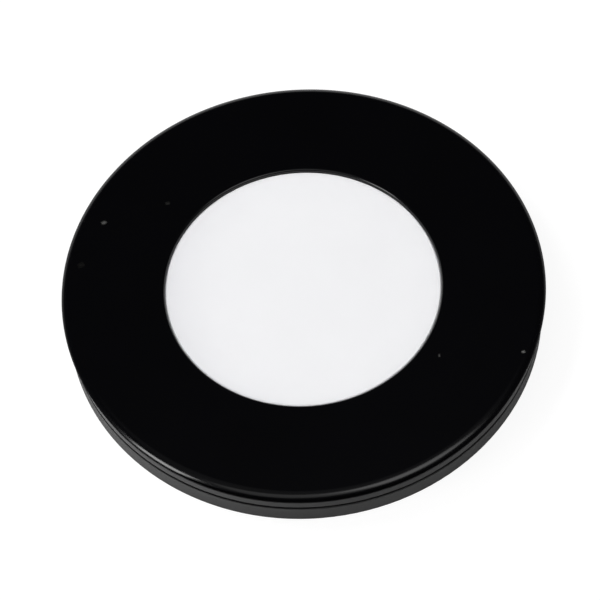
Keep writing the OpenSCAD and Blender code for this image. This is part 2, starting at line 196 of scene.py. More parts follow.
gate_mesh = bpy.data.meshes.new("gate_stub")
stub.to_mesh(gate_mesh)
stub.free()
gate_mesh.materials.append(moulded_abs)
gate = bpy.data.objects.new("gate_stub", gate_mesh)
bpy.context.scene.collection.objects.link(gate)
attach(gate, "mount")

# Housing
# Die-cast aluminium pan with a turned band around it, sprayed satin black. It carries everything
# of the light head, and its three lugs turn under the plate's tabs.
satin_paint, tree, shader, place = start_material(
    "Sprayed_paint_satin_black", Roughness=0.3, Specular_IOR_Level=0.45)
# Sprayed paint: a fine orange peel of about 0.8 mm that softens the edge of each reflection.
cloud = add(tree, "ShaderNodeTexNoise", {"Vector": place, "Scale": 1 / (9 * MM), "Detail": 3.0})
colour = add(tree, "ShaderNodeMix", {
    "Factor": cloud.outputs["Fac"], "A": linear("#08080a"), "B": linear("#0e0e10")},
    data_type="RGBA")
tree.links.new(colour.outputs["Result"], shader.inputs["Base Color"])
dull = add(tree, "ShaderNodeMapRange", {
    "Value": cloud.outputs["Fac"], "To Min": 0.27, "To Max": 0.35})
tree.links.new(dull.outputs["Result"], shader.inputs["Roughness"])
peel = add(tree, "ShaderNodeTexNoise", {"Vector": place, "Scale": 1 / (0.8 * MM), "Detail": 2.0})
bump = add(tree, "ShaderNodeBump", {
    "Height": peel.outputs["Fac"], "Distance": 0.006 * MM, "Strength": 0.3})
tree.links.new(bump.outputs["Normal"], shader.inputs["Normal"])
dress(satin_paint, "housing")

# Casting marks: six round pin marks on the pan's back, where the screws' faces lie too.
pan_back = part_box("case_screws")[0].z
grow("casting_marks", pin_marks, "light_head", {
    "Count": 6, "Circle": 14 * MM, "Mark": 2 * MM, "Height": 0.12 * MM, "Level": pan_back,
    "Material": satin_paint})

# Case screws
# Three zinc-plated countersunk M2 screws, driven from the back. They pull the trim ring down onto
# the lens and the whole stack.
zinc_steel, tree, shader, place = start_material("Zinc_plated_steel", Metallic=1.0, Roughness=0.32)
# Zinc plating: bright, slightly blue, with passivation clouds of about 1 mm.
cloud = add(tree, "ShaderNodeTexNoise", {"Vector": place, "Scale": 1 / (1.0 * MM), "Detail": 2.0})
colour = add(tree, "ShaderNodeMix", {
    "Factor": cloud.outputs["Fac"], "A": linear("#b9bdc2"), "B": linear("#d2d3d0")},
    data_type="RGBA")
tree.links.new(colour.outputs["Result"], shader.inputs["Base Color"])
dull = add(tree, "ShaderNodeMapRange", {
    "Value": cloud.outputs["Fac"], "To Min": 0.24, "To Max": 0.42})
tree.links.new(dull.outputs["Result"], shader.inputs["Roughness"])
dress(zinc_steel, "case_screws")

# Threads: one rolled helix for each shank, 0.4 mm pitch, held inside the holes' clearance.
tree, inputs, output = start_tree(
    "Screw_threads", Count="Int", Circle="Float", Shank="Float", Pitch="Float", Turns="Float",
    Crest="Float", Level="Float", Turn="Float", Material="Material")
height = add(tree, "ShaderNodeMath", {0: inputs["Pitch"], 1: inputs["Turns"]}, operation="MULTIPLY")
helix = add(tree, "GeometryNodeCurveSpiral", {
    "Resolution": 24, "Rotations": inputs["Turns"], "Start Radius": inputs["Shank"],
    "End Radius": inputs["Shank"], "Height": height.outputs[0]})
ridge = add(tree, "GeometryNodeCurvePrimitiveCircle", {"Resolution": 4, "Radius": inputs["Crest"]})
thread = add(tree, "GeometryNodeCurveToMesh", {
    "Curve": helix.outputs["Curve"], "Profile Curve": ridge.outputs["Curve"], "Fill Caps": True})
circle = add(tree, "GeometryNodeMeshCircle", {
    "Vertices": inputs["Count"], "Radius": inputs["Circle"]})
spin = add(tree, "ShaderNodeCombineXYZ", {"Z": inputs["Turn"]})
level = add(tree, "ShaderNodeCombineXYZ", {"Z": inputs["Level"]})
lifted = add(tree, "GeometryNodeTransform", {
    "Geometry": circle.outputs["Mesh"], "Translation": level.outputs[0],
    "Rotation": spin.outputs[0]})
placed = add(tree, "GeometryNodeInstanceOnPoints", {
    "Points": lifted.outputs["Geometry"], "Instance": thread.outputs["Mesh"]})
end_tree(tree, placed, inputs, output)
CHANNEL_R = 27.96             # middle of the channel that holds the screws and the board, in mm
SCREWS, FIRST_SCREW = 3, 30   # their number, and the first one's angle in degrees
HEAD_H = 1.2                  # from the screw's face to its first thread, in mm
grow("screw_threads", tree, "light_head", {
    "Count": SCREWS, "Circle": CHANNEL_R * MM, "Shank": 1.0 * MM, "Pitch": 0.4 * MM, "Turns": 3.5,
    "Crest": 0.045 * MM, "Level": pan_back + HEAD_H * MM, "Turn": math.radians(FIRST_SCREW),
    "Material": zinc_steel})

# Lead socket
# Low two-way socket, moulded in natural nylon and open through the band at the back. Two blades
# stamped from tinned brass pass through its rear wall and are soldered to the board.
nylon, tree, shader, place = start_material(
    "Moulded_nylon_natural", Roughness=0.5, Subsurface_Weight=0.15, Subsurface_Scale=0.5 * MM)
# Nylon: milky and slightly waxy, with faint flow clouds of about 2 mm.
cloud = add(tree, "ShaderNodeTexNoise", {"Vector": place, "Scale": 1 / (2 * MM), "Detail": 2.0})
colour = add(tree, "ShaderNodeMix", {
    "Factor": cloud.outputs["Fac"], "A": linear("#ded9cb"), "B": linear("#eae6da")},
    data_type="RGBA")
tree.links.new(colour.outputs["Result"], shader.inputs["Base Color"])
dress(nylon, "lead_socket")

tinned_brass, tree, shader, place = start_material(
    "Tinned_brass_stamped", Metallic=1.0, Roughness=0.3)
# Tinned brass: warm metal, dulled by fine rolling lines of 0.05 mm along the blade.
lines = add(tree, "ShaderNodeMapping", {
    "Vector": place, "Scale": (1 / (0.05 * MM), 1 / (3 * MM), 1 / (0.05 * MM))})
rolled = add(tree, "ShaderNodeTexNoise", {
    "Vector": lines.outputs["Vector"], "Scale": 1.0, "Detail": 1.0})
colour = add(tree, "ShaderNodeMix", {
    "Factor": rolled.outputs["Fac"], "A": linear("#c8b071"), "B": linear("#d9ccaa")},
    data_type="RGBA")
tree.links.new(colour.outputs["Result"], shader.inputs["Base Color"])
dull = add(tree, "ShaderNodeMapRange", {
    "Value": rolled.outputs["Fac"], "To Min": 0.22, "To Max": 0.4})
tree.links.new(dull.outputs["Result"], shader.inputs["Roughness"])
dress(tinned_brass, "contact_left", "contact_right")

# Driver board
# Crescent of glass-epoxy board between the LED rib and the wall, with the socket in its notch.
# Rectifier, regulator, resistors and capacitors are soldered to its upper face.
solder_mask, tree, shader, place = start_material("Solder_mask_on_glass_epoxy", Roughness=0.3)
# Solder mask: green over epoxy, lighter where it covers the copper, which runs in arcs.
TRACK_GAP = 1.3 * MM
flat = add(tree, "ShaderNodeVectorMath", {0: place, 1: (1, 1, 0)}, operation="MULTIPLY")
reach = add(tree, "ShaderNodeVectorMath", {0: flat.outputs["Vector"]}, operation="LENGTH")
turns = add(tree, "ShaderNodeMath", {
    0: reach.outputs["Value"], 1: math.tau / TRACK_GAP}, operation="MULTIPLY")
wave = add(tree, "ShaderNodeMath", {0: turns.outputs[0]}, operation="SINE")
patch = add(tree, "ShaderNodeTexNoise", {"Vector": place, "Scale": 1 / (3.5 * MM), "Detail": 0.0})
both = add(tree, "ShaderNodeMath", {
    0: wave.outputs[0], 1: patch.outputs["Fac"]}, operation="MULTIPLY")
copper = add(tree, "ShaderNodeMapRange", {
    "Value": both.outputs[0], "From Min": 0.18, "From Max": 0.24})
colour = add(tree, "ShaderNodeMix", {
    "Factor": copper.outputs["Result"], "A": linear("#0f4a26"), "B": linear("#1f7540")},
    data_type="RGBA")
tree.links.new(colour.outputs["Result"], shader.inputs["Base Color"])
bump = add(tree, "ShaderNodeBump", {
    "Height": copper.outputs["Result"], "Distance": 0.03 * MM, "Strength": 0.6})
tree.links.new(bump.outputs["Normal"], shader.inputs["Normal"])
dress(solder_mask, "driver_board")

epoxy, tree, shader, place = start_material("Moulded_epoxy_black", Roughness=0.55)
# Moulding epoxy: charcoal and matt, with silica grains of about 0.1 mm.
grain = add(tree, "ShaderNodeTexNoise", {"Vector": place, "Scale": 1 / (0.1 * MM), "Detail": 2.0})
colour = add(tree, "ShaderNodeMix", {
    "Factor": grain.outputs["Fac"], "A": linear("#161618"), "B": linear("#2a2a2c")},
    data_type="RGBA")
tree.links.new(colour.outputs["Result"], shader.inputs["Base Color"])
bump = add(tree, "ShaderNodeBump", {
    "Height": grain.outputs["Fac"], "Distance": 0.01 * MM, "Strength": 0.5})
tree.links.new(bump.outputs["Normal"], shader.inputs["Normal"])
dress(epoxy, "rectifier", "current_regulator")

CHIP_BODY = 1.1 * MM          # from a chip's middle to where its tinned ends start


def chip_material(name, body_hex):
    """Ceramic chip: dull and coloured in the middle, with bright tinned ends."""
    material, tree, shader, place = start_material(name, Roughness=0.35)
    flat = add(tree, "ShaderNodeVectorMath", {0: place, 1: (1, 1, 0)}, operation="MULTIPLY")
    reach = add(tree, "ShaderNodeVectorMath", {0: flat.outputs["Vector"]}, operation="LENGTH")
    out = add(tree, "ShaderNodeMath", {
        0: reach.outputs["Value"], 1: CHANNEL_R * MM}, operation="SUBTRACT")
    off = add(tree, "ShaderNodeMath", {0: out.outputs[0]}, operation="ABSOLUTE")
    tinned = add(tree, "ShaderNodeMath", {
        0: off.outputs[0], 1: CHIP_BODY}, operation="GREATER_THAN")
    grain = add(tree, "ShaderNodeTexNoise", {
        "Vector": place, "Scale": 1 / (0.3 * MM), "Detail": 2.0})
    end = add(tree, "ShaderNodeMix", {
        "Factor": grain.outputs["Fac"], "A": linear("#b4b4b2"), "B": linear("#d4d4d2")},
        data_type="RGBA")
    colour = add(tree, "ShaderNodeMix", {
        "Factor": tinned.outputs[0], "A": linear(body_hex), "B": end.outputs["Result"]},
        data_type="RGBA")
    tree.links.new(colour.outputs["Result"], shader.inputs["Base Color"])
    tree.links.new(tinned.outputs[0], shader.inputs["Metallic"])
    return material


dress(chip_material("Resistor_film_on_alumina", "#17181b"),
      "resistor_1", "resistor_2", "resistor_3", "resistor_4")
dress(chip_material("Capacitor_ceramic_brown", "#8a6a48"), "capacitor_1", "capacitor_2")

# Solder fillets at every chip end, package lead, contact tail and tongue pad.
tin_solder, tree, shader, place = start_material(
    "Tin_solder_reflowed", Metallic=1.0, Roughness=0.25)
# Reflowed tin: bright grey, with a frosted crystal skin in patches of about 0.3 mm.
frost = add(tree, "ShaderNodeTexNoise", {"Vector": place, "Scale": 1 / (0.3 * MM), "Detail": 3.0})
colour = add(tree, "ShaderNodeMix", {
    "Factor": frost.outputs["Fac"], "A": linear("#b6b8ba"), "B": linear("#d6d6d4")},
    data_type="RGBA")
tree.links.new(colour.outputs["Result"], shader.inputs["Base Color"])
dull = add(tree, "ShaderNodeMapRange", {
    "Value": frost.outputs["Fac"], "To Min": 0.15, "To Max": 0.4})
tree.links.new(dull.outputs["Result"], shader.inputs["Roughness"])

board_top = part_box("driver_board")[1].z


def on_board(angle, across, out):
    """A place on the board's upper face: along its arc, and outwards from its middle, in mm."""
    a = math.radians(angle)
    reach = CHANNEL_R + out
    return ((reach * math.cos(a) + across * math.sin(a)) * MM,
            (reach * math.sin(a) - across * math.cos(a)) * MM, board_top)


CHIPS = (                     # each chip and the height of its solder, in mm
    ("resistor_1", 0.4), ("resistor_2", 0.4), ("resistor_3", 0.4), ("resistor_4", 0.4),
    ("capacitor_1", 0.6), ("capacitor_2", 0.6))
CHIP_REACH = 1.58             # from a chip's middle to its fillets, in mm
PACKAGES = (                  # angle in degrees, reach to the leads, and their places across, in mm
    (109.5, 2.43, (-1.25, 1.25)),                     # rectifier
    (73.5, 1.48, (-0.95, 0, 0.95)))                   # current regulator
TAIL_X, TAIL_Y, TAIL_SIDE = 1.25, 26.25, 0.29         # the contacts' tails, in mm
TONGUE_TURN, TONGUE_R, PAD_X = 63, 27.25, 0.8         # the LED strip's tongue and its pads
fillets = []                  # place, turn, and length, width and height of each one
for name, tall in CHIPS:
    low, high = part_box(name)
    angle = math.degrees(math.atan2(low.y + high.y, low.x + high.x))
    for side in (-1, 1):
        turn = math.radians(angle) + (side < 0) * math.pi
        fillets.append((on_board(angle, 0, side * CHIP_REACH), turn,
                        (0.45 * MM, 1.45 * MM, tall * MM)))
for angle, reach, leads in PACKAGES:
    for side in (-1, 1):
        turn = math.radians(angle) + (side < 0) * math.pi
        for across in leads:
            fillets.append((on_board(angle, across, side * reach), turn,
                            (0.28 * MM, 0.5 * MM, 0.14 * MM)))
for side in (-1, 1):
    for edge in (-1, 1):
        fillets.append((((side * TAIL_X + edge * TAIL_SIDE) * MM, TAIL_Y * MM, board_top),
                        (edge < 0) * math.pi, (0.4 * MM, 0.9 * MM, 0.3 * MM)))
for across in (-PAD_X, PAD_X):
    fillets.append((on_board(TONGUE_TURN, across, TONGUE_R - CHANNEL_R), math.radians(TONGUE_TURN),
                    (0.5 * MM, 1.0 * MM, 0.24 * MM)))
# Each one is a block of size 1, bent into a hollow slope from the joint, at 0, to its toe, at 1.
# Round and Taper make it fall off to the sides and narrow towards the toe. Toe is its least height,
# and Sunk is how far it goes into the board.
tree, inputs, output = start_tree(
    "Solder_fillets", Steps="Int", Hollow="Float", Round="Float", Toe="Float", Sunk="Float",
    Taper="Float", Material="Material")
block = add(tree, "GeometryNodeMeshCube", {
    "Size": (1, 1, 1), "Vertices X": inputs["Steps"], "Vertices Y": inputs["Steps"],
    "Vertices Z": 2})
point = add(tree, "GeometryNodeInputPosition")
axes = add(tree, "ShaderNodeSeparateXYZ", {"Vector": point.outputs[0]})
out_by = add(tree, "ShaderNodeMath", {0: axes.outputs["X"], 1: 0.5}, operation="ADD")
rest_x = add(tree, "ShaderNodeMath", {0: 0.5, 1: axes.outputs["X"]}, operation="SUBTRACT")
hollow = add(tree, "ShaderNodeMath", {0: rest_x.outputs[0], 1: inputs["Hollow"]}, operation="POWER")
off_y = add(tree, "ShaderNodeMath", {
    0: axes.outputs["Y"], 1: axes.outputs["Y"]}, operation="MULTIPLY")
round_y = add(tree, "ShaderNodeMath", {
    0: off_y.outputs[0], 1: inputs["Round"], 2: 1.0}, operation="MULTIPLY_ADD")
dome = add(tree, "ShaderNodeMath", {
    0: hollow.outputs[0], 1: round_y.outputs[0]}, operation="MULTIPLY")
skin = add(tree, "ShaderNodeMath", {0: dome.outputs[0], 1: inputs["Toe"]}, operation="MAXIMUM")
share = add(tree, "ShaderNodeMath", {0: axes.outputs["Z"], 1: 0.5}, operation="ADD")
tall = add(tree, "ShaderNodeMath", {0: skin.outputs[0], 1: share.outputs[0]}, operation="MULTIPLY")
sunk = add(tree, "ShaderNodeMath", {0: tall.outputs[0], 1: inputs["Sunk"]}, operation="SUBTRACT")
narrow = add(tree, "ShaderNodeMath", {
    0: out_by.outputs[0], 1: inputs["Taper"], 2: 1.0}, operation="MULTIPLY_ADD")
side_y = add(tree, "ShaderNodeMath", {
    0: axes.outputs["Y"], 1: narrow.outputs[0]}, operation="MULTIPLY")
shape = add(tree, "ShaderNodeCombineXYZ", {
    "X": out_by.outputs[0], "Y": side_y.outputs[0], "Z": sunk.outputs[0]})
wedge = add(tree, "GeometryNodeSetPosition", {
    "Geometry": block.outputs["Mesh"], "Position": shape.outputs[0]})
turn = add(tree, "GeometryNodeInputNamedAttribute", {"Name": "turn"}, data_type="FLOAT")
size = add(tree, "GeometryNodeInputNamedAttribute", {"Name": "size"}, data_type="FLOAT_VECTOR")
spin = add(tree, "ShaderNodeCombineXYZ", {"Z": turn.outputs["Attribute"]})
placed = add(tree, "GeometryNodeInstanceOnPoints", {
    "Points": inputs["Geometry"], "Instance": wedge.outputs["Geometry"],
    "Rotation": spin.outputs[0], "Scale": size.outputs["Attribute"]})
end_tree(tree, placed, inputs, output)
grow("solder_fillets", tree, "light_head", {
    "Steps": 6, "Hollow": 2.0, "Round": -2.8, "Toe": 0.06, "Sunk": 0.02, "Taper": -0.3,
    "Material": tin_solder}, fillets)

# LED strip
# Flexible circuit with a white coating, bent on edge into a ring inside the housing's rib. Twelve
# side-view LEDs are soldered to it, and its tongue runs out to the driver board.
white_flex, tree, shader, place = start_material("Polyimide_white_coated", Roughness=0.4)
# White-coated polyimide: clean white with a slight print mottle of 1 mm.
cloud = add(tree, "ShaderNodeTexNoise", {"Vector": place, "Scale": 1 / (1.0 * MM), "Detail": 2.0})
colour = add(tree, "ShaderNodeMix", {
    "Factor": cloud.outputs["Fac"], "A": linear("#e4e4dc"), "B": linear("#f2f2ec")},
    data_type="RGBA")
tree.links.new(colour.outputs["Result"], shader.inputs["Base Color"])
dress(white_flex, "led_strip")

ppa, tree, shader, place = start_material("Moulded_PPA_white", Roughness=0.45)
# Heat-proof nylon: bright white and matt, so that it throws the light forwards.
cloud = add(tree, "ShaderNodeTexNoise", {"Vector": place, "Scale": 1 / (0.4 * MM), "Detail": 2.0})
colour = add(tree, "ShaderNodeMix", {
    "Factor": cloud.outputs["Fac"], "A": linear("#ecebe6"), "B": linear("#f6f5f2")},
    data_type="RGBA")
tree.links.new(colour.outputs["Result"], shader.inputs["Base Color"])
LEDS = 12
dress(ppa, *[f"led_{i + 1:02d}" for i in range(LEDS)])

# Phosphor windows: a slab in the front of each LED, with a slightly hollow face.
phosphor, tree, shader, place = start_material("Phosphor_in_silicone", Roughness=0.2)
# Phosphor: egg yellow, with grains of about 0.06 mm in clear silicone.
grain = add(tree, "ShaderNodeTexNoise", {"Vector": place, "Scale": 1 / (0.06 * MM), "Detail": 1.0})
colour = add(tree, "ShaderNodeMix", {
    "Factor": grain.outputs["Fac"], "A": linear("#e8c23a"), "B": linear("#f5dc6c")},
    data_type="RGBA")
tree.links.new(colour.outputs["Result"], shader.inputs["Base Color"])
led_low, led_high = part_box("led_01")
led_middle = (led_low.z + led_high.z) / 2
tree, inputs, output = start_tree(
    "Phosphor_windows", Count="Int", Circle="Float", Window="Vector", Hollow="Float", Level="Float",
    Material="Material")
slab = add(tree, "GeometryNodeMeshCube", {
    "Size": inputs["Window"], "Vertices X": 2, "Vertices Y": 13, "Vertices Z": 7})
# Over a slab of size 1 the dish is (1 - 4 y y)(1 - 4 z z). Only the face towards the guide gets it.
point = add(tree, "GeometryNodeInputPosition")
share = add(tree, "ShaderNodeVectorMath", {
    0: point.outputs[0], 1: inputs["Window"]}, operation="DIVIDE")
axes = add(tree, "ShaderNodeSeparateXYZ", {"Vector": share.outputs["Vector"]})
square_y = add(tree, "ShaderNodeMath", {
    0: axes.outputs["Y"], 1: axes.outputs["Y"]}, operation="MULTIPLY")
square_z = add(tree, "ShaderNodeMath", {
    0: axes.outputs["Z"], 1: axes.outputs["Z"]}, operation="MULTIPLY")
rise_y = add(tree, "ShaderNodeMath", {
    0: square_y.outputs[0], 1: -4.0, 2: 1.0}, operation="MULTIPLY_ADD")
rise_z = add(tree, "ShaderNodeMath", {
    0: square_z.outputs[0], 1: -4.0, 2: 1.0}, operation="MULTIPLY_ADD")
dish = add(tree, "ShaderNodeMath", {
    0: rise_y.outputs[0], 1: rise_z.outputs[0]}, operation="MULTIPLY")
deep = add(tree, "ShaderNodeMath", {0: dish.outputs[0], 1: inputs["Hollow"]}, operation="MULTIPLY")
front = add(tree, "ShaderNodeMath", {0: axes.outputs["X"], 1: 0.0}, operation="LESS_THAN")
push = add(tree, "ShaderNodeMath", {0: deep.outputs[0], 1: front.outputs[0]}, operation="MULTIPLY")
shift = add(tree, "ShaderNodeCombineXYZ", {"X": push.outputs[0]})
shaped = add(tree, "GeometryNodeSetPosition", {
    "Geometry": slab.outputs["Mesh"], "Offset": shift.outputs[0]})
circle = add(tree, "GeometryNodeMeshCircle", {
    "Vertices": inputs["Count"], "Radius": inputs["Circle"]})
level = add(tree, "ShaderNodeCombineXYZ", {"Z": inputs["Level"]})
lifted = add(tree, "GeometryNodeSetPosition", {
    "Geometry": circle.outputs["Mesh"], "Offset": level.outputs[0]})
index = add(tree, "GeometryNodeInputIndex")
step = add(tree, "ShaderNodeMath", {0: math.tau, 1: inputs["Count"]}, operation="DIVIDE")
angle = add(tree, "ShaderNodeMath", {0: index.outputs[0], 1: step.outputs[0]}, operation="MULTIPLY")
spin = add(tree, "ShaderNodeCombineXYZ", {"Z": angle.outputs[0]})
placed = add(tree, "GeometryNodeInstanceOnPoints", {
    "Points": lifted.outputs["Geometry"], "Instance": shaped.outputs["Geometry"],
    "Rotation": spin.outputs[0]})
end_tree(tree, placed, inputs, output)
grow("phosphor_windows", tree, "light_head", {
    "Count": LEDS, "Circle": 22.785 * MM, "Window": (0.07 * MM, 2.48 * MM, 0.88 * MM),
    "Hollow": 0.02 * MM, "Level": led_middle, "Material": phosphor})

# Reflector and light guide
# A white film lies on the housing's floor. On it lies a clear acrylic disc that takes in the LEDs'
# light at its edge.
white_film, tree, shader, place = start_material("Foamed_PET_white", Roughness=0.55)
# Foamed polyester: very white and matt, with cells of about 0.2 mm.
cells = add(tree, "ShaderNodeTexNoise", {"Vector": place, "Scale": 1 / (0.2 * MM), "Detail": 2.0})
colour = add(tree, "ShaderNodeMix", {
    "Factor": cells.outputs["Fac"], "A": linear("#f0f0ee"), "B": linear("#fafaf9")},
    data_type="RGBA")
tree.links.new(colour.outputs["Result"], shader.inputs["Base Color"])
dress(white_film, "reflector_film")

clear_acrylic, tree, shader, place = start_material(
    "Cast_acrylic_clear", Roughness=0.06, IOR=1.49, Transmission_Weight=1.0)
# Cast acrylic: clear, with a faint cool edge and polishing haze in patches of 4 mm.
haze = add(tree, "ShaderNodeTexNoise", {"Vector": place, "Scale": 1 / (4 * MM), "Detail": 2.0})
colour = add(tree, "ShaderNodeMix", {
    "Factor": haze.outputs["Fac"], "A": linear("#f2f8fa"), "B": linear("#fbfdfd")},
    data_type="RGBA")
tree.links.new(colour.outputs["Result"], shader.inputs["Base Color"])
dull = add(tree, "ShaderNodeMapRange", {
    "Value": haze.outputs["Fac"], "To Min": 0.04, "To Max": 0.1})
tree.links.new(dull.outputs["Result"], shader.inputs["Roughness"])
dress(clear_acrylic, "light_guide")

# Guide dots: a staggered print on the guide's back that turns its light out. The dots grow towards
# the middle, far from the LEDs.
dot_ink, tree, shader, place = start_material("Screen_printed_ink_white", Roughness=0.6)
# Screen ink: chalky white, with pinholes and thin spots of about 0.1 mm.
spots = add(tree, "ShaderNodeTexNoise", {"Vector": place, "Scale": 1 / (0.1 * MM), "Detail": 2.0})
colour = add(tree, "ShaderNodeMix", {
    "Factor": spots.outputs["Fac"], "A": linear("#e6e6e4"), "B": linear("#f4f4f2")},
    data_type="RGBA")
tree.links.new(colour.outputs["Result"], shader.inputs["Base Color"])
tree, inputs, output = start_tree(
    "Guide_dots", Rows="Int", Columns="Int", Pitch="Float", Reach="Float", Small="Float",
    Large="Float", Height="Float", Level="Float", Material="Material")
long_x = add(tree, "ShaderNodeMath", {0: inputs["Rows"], 1: 1.0}, operation="SUBTRACT")
row_gap = add(tree, "ShaderNodeMath", {
    0: inputs["Pitch"], 1: math.sqrt(0.75)}, operation="MULTIPLY")
size_x = add(tree, "ShaderNodeMath", {
    0: long_x.outputs[0], 1: row_gap.outputs[0]}, operation="MULTIPLY")
long_y = add(tree, "ShaderNodeMath", {0: inputs["Columns"], 1: 1.0}, operation="SUBTRACT")
size_y = add(tree, "ShaderNodeMath", {
    0: long_y.outputs[0], 1: inputs["Pitch"]}, operation="MULTIPLY")
lattice = add(tree, "GeometryNodeMeshGrid", {
    "Size X": size_x.outputs[0], "Size Y": size_y.outputs[0], "Vertices X": inputs["Rows"],
    "Vertices Y": inputs["Columns"]})
index = add(tree, "GeometryNodeInputIndex")
rows = add(tree, "ShaderNodeMath", {0: index.outputs[0], 1: inputs["Columns"]}, operation="DIVIDE")
row = add(tree, "ShaderNodeMath", {0: rows.outputs[0]}, operation="FLOOR")
odd = add(tree, "ShaderNodeMath", {0: row.outputs[0], 1: 2.0}, operation="MODULO")
shift = add(tree, "ShaderNodeMath", {0: odd.outputs[0], 1: inputs["Pitch"]}, operation="MULTIPLY")
half_shift = add(tree, "ShaderNodeMath", {0: shift.outputs[0], 1: 0.5}, operation="MULTIPLY")
stagger = add(tree, "ShaderNodeCombineXYZ", {"Y": half_shift.outputs[0], "Z": inputs["Level"]})
hexed = add(tree, "GeometryNodeSetPosition", {
    "Geometry": lattice.outputs["Mesh"], "Offset": stagger.outputs[0]})
point = add(tree, "GeometryNodeInputPosition")
reach = add(tree, "ShaderNodeVectorMath", {0: point.outputs[0]}, operation="LENGTH")
outside = add(tree, "FunctionNodeCompare", {
    0: reach.outputs["Value"], 1: inputs["Reach"]}, operation="GREATER_THAN")
kept = add(tree, "GeometryNodeDeleteGeometry", {
    "Geometry": hexed.outputs["Geometry"], "Selection": outside.outputs["Result"]})
grown = add(tree, "ShaderNodeMapRange", {
    "Value": reach.outputs["Value"], "From Max": inputs["Reach"], "To Min": inputs["Large"],
    "To Max": inputs["Small"]})
scale = add(tree, "ShaderNodeCombineXYZ", {
    "X": grown.outputs["Result"], "Y": grown.outputs["Result"], "Z": inputs["Height"]})
dot = add(tree, "GeometryNodeMeshCylinder", {"Vertices": 8, "Radius": 1.0, "Depth": 1.0})
placed = add(tree, "GeometryNodeInstanceOnPoints", {
    "Points": kept.outputs["Geometry"], "Instance": dot.outputs["Mesh"], "Scale": scale.outputs[0]})
end_tree(tree, placed, inputs, output)
guide_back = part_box("light_guide")[0].z
grow("guide_dots", tree, "light_head", {
    "Rows": 37, "Columns": 32, "Pitch": 1.4 * MM, "Reach": 21.6 * MM, "Small": 0.2 * MM,
    "Large": 0.4 * MM, "Height": 0.03 * MM, "Level": guide_back - 0.012 * MM, "Material": dot_ink})

# Lens
# Opal acrylic disc with a flange, which the trim ring holds down onto the light guide. Its face is
# matt, so the unlit lens looks plain white.
opal_acrylic, tree, shader, place = start_material(
    "Opal_acrylic_matt", Roughness=0.45, IOR=1.49, Subsurface_Weight=0.3, Subsurface_Scale=1 * MM,
    Subsurface_Radius=(1, 1, 1))
# Opal acrylic: white pigment in clear acrylic, with a barely visible cloudiness of 8 mm. The margin
# is painted a little greyer, as painted shade for the light lost under the trim ring. The painted
# shade is centred 3 mm to the right, so most of it shows on the left.
cloud = add(tree, "ShaderNodeTexNoise", {"Vector": place, "Scale": 1 / (8 * MM), "Detail": 1.0})
colour = add(tree, "ShaderNodeMix", {
    "Factor": cloud.outputs["Fac"], "A": linear("#f0f0f2"), "B": linear("#f3f3f5")},
    data_type="RGBA")
off = add(tree, "ShaderNodeMapping", {
    "Vector": place, "Location": (-3 * MM, 0, 0), "Scale": (1, 0.8, 0)})
reach = add(tree, "ShaderNodeVectorMath", {0: off.outputs["Vector"]}, operation="LENGTH")
share = add(tree, "ShaderNodeMapRange", {
    "Value": reach.outputs["Value"], "From Min": 10 * MM, "From Max": 23 * MM})
# Painted shade: the lens colour turns greyer towards its margin, most on the left.
painted_shade_amount = add(tree, "ShaderNodeMath", {0: share.outputs["Result"], 1: 2.6}, operation="POWER")
painted_margin_shade = add(tree, "ShaderNodeMix", {
    "Factor": painted_shade_amount.outputs[0], "A": colour.outputs["Result"], "B": linear("#e4e4e7")},
    data_type="RGBA")
tree.links.new(painted_margin_shade.outputs["Result"], shader.inputs["Base Color"])
matt = add(tree, "ShaderNodeTexNoise", {"Vector": place, "Scale": 1 / (0.2 * MM), "Detail": 2.0})
bump = add(tree, "ShaderNodeBump", {
    "Height": matt.outputs["Fac"], "Distance": 0.004 * MM, "Strength": 0.2})
tree.links.new(bump.outputs["Normal"], shader.inputs["Normal"])
dress(opal_acrylic, "lens")

# Trim ring
# Die-cast ring with a rounded rim, sprayed deep black. It closes the light head from the front,
# with a spigot inside the housing's wall and three bosses for the case screws. It is turned in fine
# steps, so that the line of light along its rim has no kinks.
gloss_paint, tree, shader, place = start_material("Sprayed_lacquer_deep_black", Roughness=0.17)
# Lacquer: almost no colour of its own, and a smooth film that still shows a little orange peel.
cloud = add(tree, "ShaderNodeTexNoise", {"Vector": place, "Scale": 1 / (14 * MM), "Detail": 2.0})
colour = add(tree, "ShaderNodeMix", {
    "Factor": cloud.outputs["Fac"], "A": linear("#020203"), "B": linear("#030305")},
    data_type="RGBA")
tree.links.new(colour.outputs["Result"], shader.inputs["Base Color"])
dull = add(tree, "ShaderNodeMapRange", {
    "Value": cloud.outputs["Fac"], "To Min": 0.15, "To Max": 0.19})
tree.links.new(dull.outputs["Result"], shader.inputs["Roughness"])
peel = add(tree, "ShaderNodeTexNoise", {"Vector": place, "Scale": 1 / (0.9 * MM), "Detail": 2.0})
bump = add(tree, "ShaderNodeBump", {
    "Height": peel.outputs["Fac"], "Distance": 0.004 * MM, "Strength": 0.25})
tree.links.new(bump.outputs["Normal"], shader.inputs["Normal"])
dress(gloss_paint, "trim_ring")


def turned(solid, section, steps, centre=(0, 0), ends=None, closed=True):
    """Turns a section of radii and heights, in mm, about an upright axis, or between two ends."""
    first, last = ends or (0, math.tau)
    rings = []
    for i in range(steps + 1 if ends else steps):
        angle = first + (last - first) * i / steps
        cos, sin = math.cos(angle), math.sin(angle)
        rings.append([
            solid.verts.new(((centre[0] + r * cos) * MM, (centre[1] + r * sin) * MM, z * MM))
            for r, z in section])
    for i in range(steps):
        here, there = rings[i], rings[(i + 1) % len(rings)]
        for j in range(len(section) if closed else len(section) - 1):
            k = (j + 1) % len(section)
            solid.faces.new((here[j], here[k], there[k], there[j]))
    if ends:
        solid.faces.new(rings[0])
        solid.faces.new(rings[-1])


